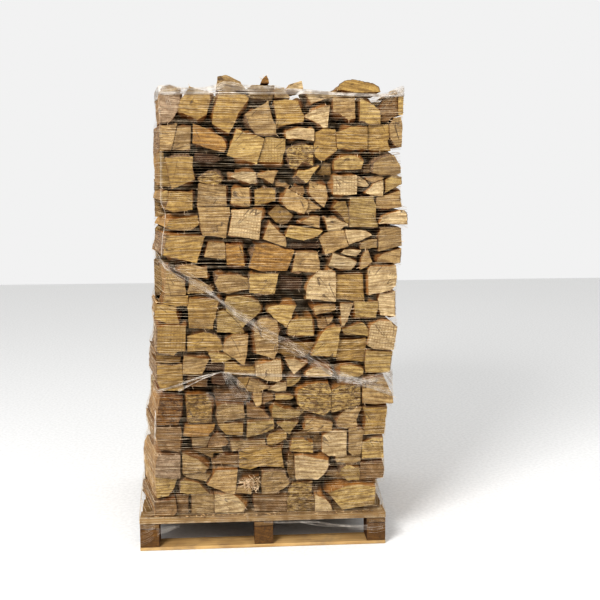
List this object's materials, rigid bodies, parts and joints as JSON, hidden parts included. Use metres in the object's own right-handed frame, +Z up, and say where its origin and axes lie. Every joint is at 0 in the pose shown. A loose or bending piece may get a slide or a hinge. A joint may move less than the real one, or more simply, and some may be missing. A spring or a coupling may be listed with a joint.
{
  "type": "pallet of firewood",
  "caption": "Block pallet stacked high with rows of split firewood logs, sawn ends out, the leaning stack wrapped in a stretched net with a twisted rope of net across the front",
  "frame": {"origin": "centre of the pallet on the ground, in the underside of the middle bottom board", "axes": "+Z up, the front of the picture towards -Y, +X to its right"},
  "size_m": [1.1081, 1.01, 1.8909],
  "materials": {
    "split_wood": "rough split and sawn",
    "deck_wood": "sawn, weathered",
    "block_wood": "sawn, weathered",
    "net_fibre": "knitted plastic thread"
  },
  "bodies": {
    "root": {"bottom_board_front": "deck_wood", "bottom_board_middle": "deck_wood", "bottom_board_rear": "deck_wood", "block_front_left": "block_wood", "block_middle_left": "block_wood", "block_rear_left": "block_wood", "stringer_left": "deck_wood", "block_front_centre": "block_wood", "block_middle_centre": "block_wood", "block_rear_centre": "block_wood", "stringer_centre": "deck_wood", "block_front_right": "block_wood", "block_middle_right": "block_wood", "block_rear_right": "block_wood", "stringer_right": "deck_wood", "deck_board_1": "deck_wood", "deck_board_2": "deck_wood", "deck_board_3": "deck_wood", "deck_board_4": "deck_wood", "deck_board_5": "deck_wood", "deck_board_6": "deck_wood", "deck_board_7": "deck_wood", "front_logs_01": "split_wood", "front_logs_02": "split_wood", "front_logs_03": "split_wood", "front_logs_04": "split_wood", "front_logs_05": "split_wood", "front_logs_06": "split_wood", "front_logs_07": "split_wood", "front_logs_08": "split_wood", "front_logs_09": "split_wood", "front_logs_10": "split_wood", "front_logs_11": "split_wood", "front_logs_12": "split_wood", "front_logs_13": "split_wood", "front_logs_14": "split_wood", "front_logs_15": "split_wood", "middle_logs_01": "split_wood", "middle_logs_02": "split_wood", "middle_logs_03": "split_wood", "middle_logs_04": "split_wood", "middle_logs_05": "split_wood", "middle_logs_06": "split_wood", "middle_logs_07": "split_wood", "middle_logs_08": "split_wood", "middle_logs_09": "split_wood", "rear_logs_01": "split_wood", "rear_logs_02": "split_wood", "rear_logs_03": "split_wood", "rear_logs_04": "split_wood", "rear_logs_05": "split_wood", "rear_logs_06": "split_wood", "rear_logs_07": "split_wood", "rear_logs_08": "split_wood", "rear_logs_09": "split_wood", "rear_logs_10": "split_wood", "rear_logs_11": "split_wood", "net_wrap": "net_fibre"}
  },
  "joints": []
}
